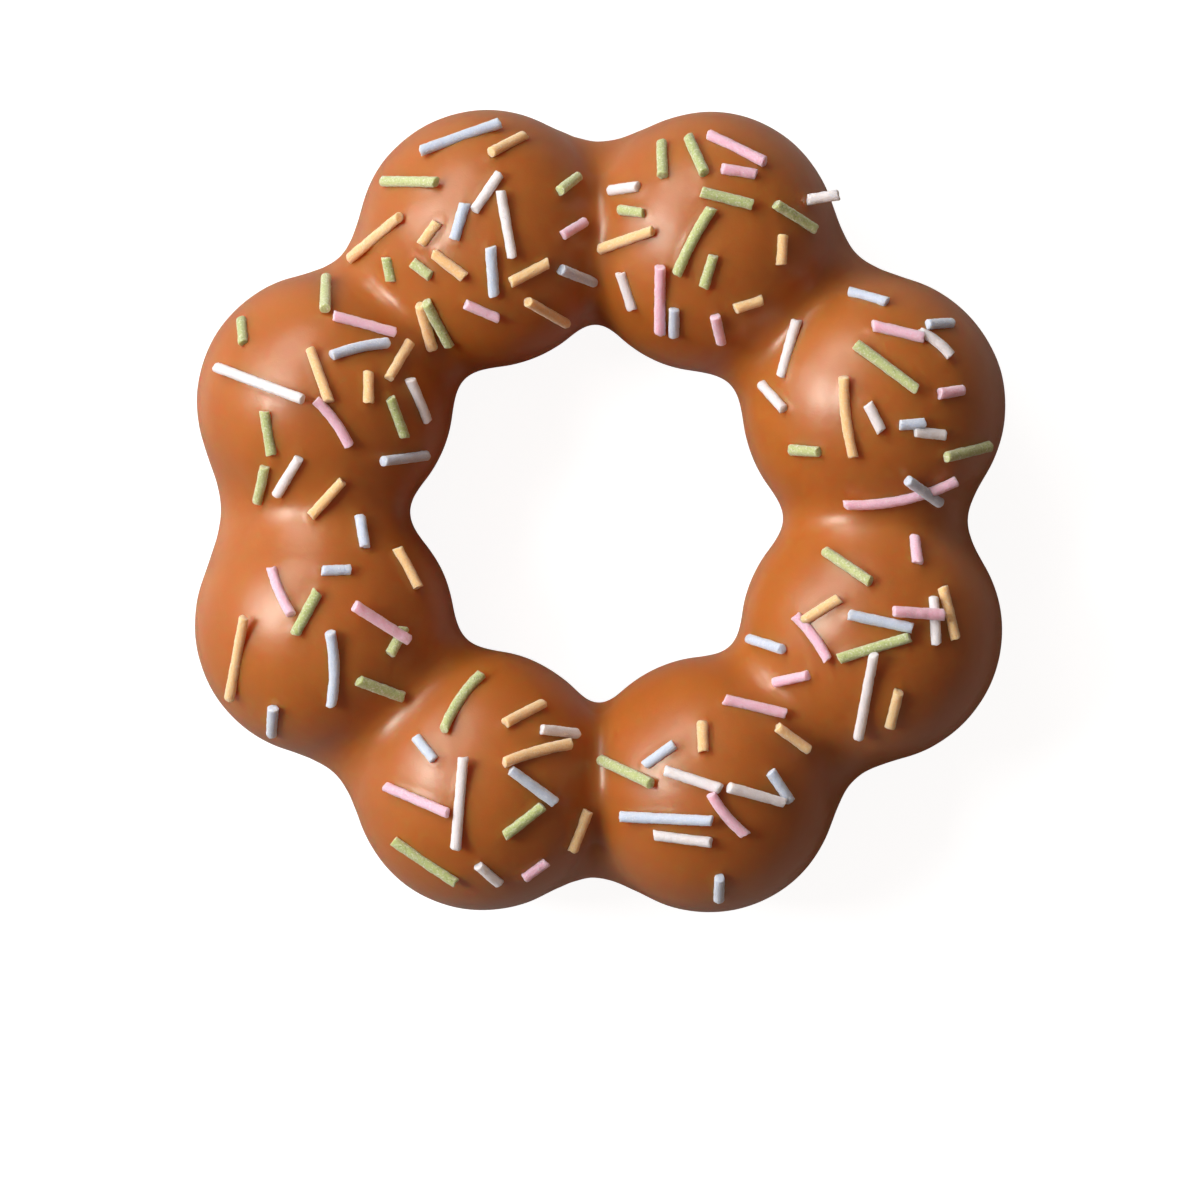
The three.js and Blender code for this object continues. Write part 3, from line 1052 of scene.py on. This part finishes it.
@dataclass
class SugarRods:
    """All sprinkles of one colour, as one piece.

    Attributes:
        colour: their colour.
        sprinkles: where they lie.
        sides: faces round a rod.
        ring_gap: gap between the rings of faces along a rod.
        fewest_rings: the fewest rings of a rod.
        side_edge: least length of an edge along a rod.
        edge: how rounded the ends' edges are.
        edge_rings: rings of faces round such an edge.
        slimness: their thickness, as a share of the solids'.
        squash: least height of a rod, as a share of its width.
        taper: how much wider an end may be, as a share.
        end_slant: how far out of square an end is broken, as a slope.
        slant_fade: how soon that fades from the end, as a power.
        crumble: how unevenly an end is broken.
        crumble_fade: how soon that fades, as a power.
        lumps: the coarse relief.
        grains: the fine relief.
        tints: the palest and the deepest rod's shade.
    """

    colour: Colour
    sprinkles: list[Sprinkle]
    sides: int = 18
    ring_gap: float = 0.25
    fewest_rings: int = 4
    side_edge: float = 0.7
    edge: float = 0.09
    edge_rings: int = 3
    slimness: float = 0.92
    squash: float = 0.9
    taper: float = 0.05
    end_slant: float = 0.26
    slant_fade: int = 6
    crumble: Relief = Relief(0.5, 0.16)
    crumble_fade: int = 12
    lumps: Relief = Relief(0.8, 0.05)
    grains: Relief = Relief(0.28, 0.04)
    tints: tuple[float, float] = (-0.3, 0.5)

    def rod(self, sprinkle: Sprinkle, dice: Dice) -> bmesh.types.BMesh:
        """Makes one rod with rounded rims and lays it in its place.

        Args:
            sprinkle: where it lies.
            dice: the draw of its own shape.

        Returns:
            The rod's own bmesh.
        """
        rod = bmesh.new()
        length = sprinkle.length()
        radius = sprinkle.radius * self.slimness
        bmesh.ops.create_cone(
            rod, cap_ends=True, segments=self.sides, radius1=radius, radius2=radius, depth=length)
        rims = [edge for edge in rod.edges if not self.runs_along(edge)]
        bmesh.ops.bevel(
            rod, geom=rims, offset=self.edge, segments=self.edge_rings, profile=0.5,
            affect="EDGES", material=-1)
        sides = [edge for edge in rod.edges if self.runs_along(edge)]
        cuts = max(self.fewest_rings, round(length / self.ring_gap))
        bmesh.ops.subdivide_edges(rod, edges=sides, cuts=cuts, use_grid_fill=True)
        ends = [face for face in rod.faces if len(face.verts) == self.sides]
        bmesh.ops.poke(rod, faces=ends)
        self.weather(rod, sprinkle, dice)
        along = (sprinkle.end - sprinkle.start) / length
        turn = Matrix((-sprinkle.right, sprinkle.up, along)).transposed().to_4x4()
        middle = Matrix.Translation((sprinkle.end + sprinkle.start) / 2)
        bmesh.ops.transform(rod, matrix=middle @ turn, verts=rod.verts)
        return rod

    def runs_along(self, edge: bmesh.types.BMEdge) -> bool:
        """Whether an edge runs along the rod rather than round an end."""
        return abs(edge.verts[0].co.z - edge.verts[1].co.z) > self.side_edge

    def weather(self, rod: bmesh.types.BMesh, sprinkle: Sprinkle, dice: Dice) -> None:
        """Makes a straight round rod its own: uneven, out of square and bowed.

        Args:
            rod: the rod, upright round the origin.
            sprinkle: where it will lie.
            dice: the draw of its own shape.
        """
        tint = rod.verts.layers.float.new("tint")
        shade = dice.draw(*self.tints)
        squash = dice.draw(self.squash, 1.0)
        taper = dice.draw(-self.taper, self.taper)
        slants = [dice.draw(-self.end_slant, self.end_slant) for _ in range(4)]
        seed = Vector([dice.draw(0, 90) for _ in range(3)])
        half = sprinkle.length() / 2
        for vertex in rod.verts:
            spot = vertex.co.copy()
            place = spot.z / half
            outward = Vector((spot.x, spot.y, 0)).normalized()
            relief = self.lumps.at(spot, seed) + self.grains.at(spot, seed)
            slant = slants[0:2] if place > 0 else slants[2:4]
            vertex.co.x = spot.x * (1 + taper * place) + outward.x * relief
            vertex.co.y = spot.y * squash * (1 + taper * place) + outward.y * relief
            vertex.co.x += sprinkle.bow * (1 - place * place)
            slope = slant[0] * spot.x + slant[1] * spot.y
            vertex.co.z += slope * abs(place) ** self.slant_fade
            vertex.co.z += self.crumble.at(spot, seed) * abs(place) ** self.crumble_fade
            vertex[tint] = shade

    def build(self, dice: Dice) -> bpy.types.Object:
        """Builds the piece.

        Args:
            dice: the draw of each rod's own shape.

        Returns:
            The piece.
        """
        mesh = bmesh.new()
        for sprinkle in self.sprinkles:
            if sprinkle.colour is self.colour:
                rod = self.rod(sprinkle, dice)
                carrier = bpy.data.meshes.new("rod")
                rod.to_mesh(carrier)
                rod.free()
                mesh.from_mesh(carrier)
                bpy.data.meshes.remove(carrier)
        bmesh.ops.recalc_face_normals(mesh, faces=mesh.faces)
        name = self.colour.value
        return dress(mesh, "sprinkles_" + name, SUGAR[self.colour].make(),
                     ("frosting",))


@dataclass(frozen=True)
class Softbox:
    """A rectangular white light that faces the ring.

    Attributes:
        name: its name.
        bearing: where it stands, in degrees anticlockwise from +X.
        elevation: how high, in degrees.
        size: its width and height, in metres.
        power: its power, in watts.
        distance: how far away, in metres.
    """

    name: str
    bearing: float
    elevation: float
    size: tuple[float, float]
    power: float
    distance: float = 1.2

    def hang(self) -> None:
        """Adds it to the scene."""
        data = bpy.data.lights.new(self.name, "AREA")
        data.shape = "RECTANGLE"
        data.size, data.size_y = self.size
        data.energy = self.power
        turn = math.radians(self.bearing)
        rise = math.radians(self.elevation)
        level = self.distance * math.cos(rise)
        light = add_object(self.name, data)
        light.location = (
            level * math.cos(turn), level * math.sin(turn), self.distance * math.sin(rise))
        light.rotation_euler = light.location.to_track_quat("Z", "Y").to_euler()


@dataclass
class Studio:
    """The camera, straight above, the soft light from the upper left and the pale floor.

    Attributes:
        frame_width: the picture's width in metres at the ring's widest line.
        middle: the picture's middle, in metres.
        widest: height of that line, in metres.
        lens: focal length, in millimetres.
        sensor: the sensor's width, in millimetres.
        softboxes: the lights.
        dusk: the surroundings' colour.
        dusk_strength: how bright they are.
        floor_size: half the floor's width, in metres.
        floor_grey: its colour, dark enough not to light the ring from below.
        floor_roughness: its roughness.
        floor_glow: how it glows for the camera alone.
    """

    frame_width: float = 0.1332
    middle: tuple[float, float] = (0.00014, -0.00973)
    widest: float = 0.0119
    lens: float = 200.0
    sensor: float = 36.0
    softboxes: tuple[Softbox, ...] = (
        Softbox("key", 171, 44, (0.46, 0.40), 10.2),
        Softbox("broad", 133, 42, (0.8, 0.6), 4.2),
        Softbox("north", 118, 30, (0.7, 0.5), 3.4),
        Softbox("fill", 163, 28, (0.6, 0.5), 4.2),
    )
    dusk: Rgb = (1.0, 0.69, 0.52)
    dusk_strength: float = 0.19
    floor_size: float = 2.0
    floor_grey: Rgb = (0.3, 0.3, 0.3)
    floor_roughness: float = 0.3
    floor_glow: float = 0.92

    def camera(self) -> None:
        """Sets the camera up."""
        data = bpy.data.cameras.new("camera")
        data.lens = self.lens
        data.sensor_width = self.sensor
        data.clip_start = 0.01
        data.clip_end = 10.0
        camera = add_object("camera", data)
        distance = self.frame_width * self.lens / self.sensor
        camera.location = (*self.middle, self.widest + distance)
        bpy.context.scene.camera = camera

    def surroundings(self) -> None:
        """Sets the world up."""
        world = bpy.data.worlds.new("studio")
        world.use_nodes = True
        background = world.node_tree.nodes["Background"]
        background.inputs["Color"].default_value = (*self.dusk, 1.0)
        background.inputs["Strength"].default_value = self.dusk_strength
        bpy.context.scene.world = world

    def floor(self) -> None:
        """Lays the pale floor."""
        mesh = bmesh.new()
        bmesh.ops.create_grid(mesh, x_segments=1, y_segments=1, size=self.floor_size)
        data = bpy.data.meshes.new("floor")
        mesh.to_mesh(data)
        mesh.free()
        finish = Finish("pale_floor")
        seen = finish.node("LightPath", output="Is Camera Ray")
        finish.set(
            Base_Color=self.floor_grey, Roughness=self.floor_roughness, Emission_Color=seen,
            Emission_Strength=self.floor_glow)
        data.materials.append(finish.material)
        floor = add_object("floor", data)

    def build(self) -> None:
        """Sets everything up."""
        bpy.context.scene.view_settings.view_transform = "Standard"
        self.camera()
        for softbox in self.softboxes:
            softbox.hang()
        self.surroundings()
        self.floor()


def main() -> None:
    """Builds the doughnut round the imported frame."""
    logging.basicConfig(level=logging.INFO, format="%(message)s")
    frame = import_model()
    LOG.info("frame nodes: %s", ", ".join(sorted(frame["nodes"])))
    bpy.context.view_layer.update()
    Studio().build()
    surface = RingSurface()
    sprinkles = Scatter(surface).lay_out()
    DoughRing(surface).build()
    Frosting(RingSurface(least_fill=CREASE_FILL), sprinkles).build()
    dice = Dice(ROD_SEED)
    for colour in Colour:
        SugarRods(colour, sprinkles).build(dice)


if __name__ == "__main__":
    main()
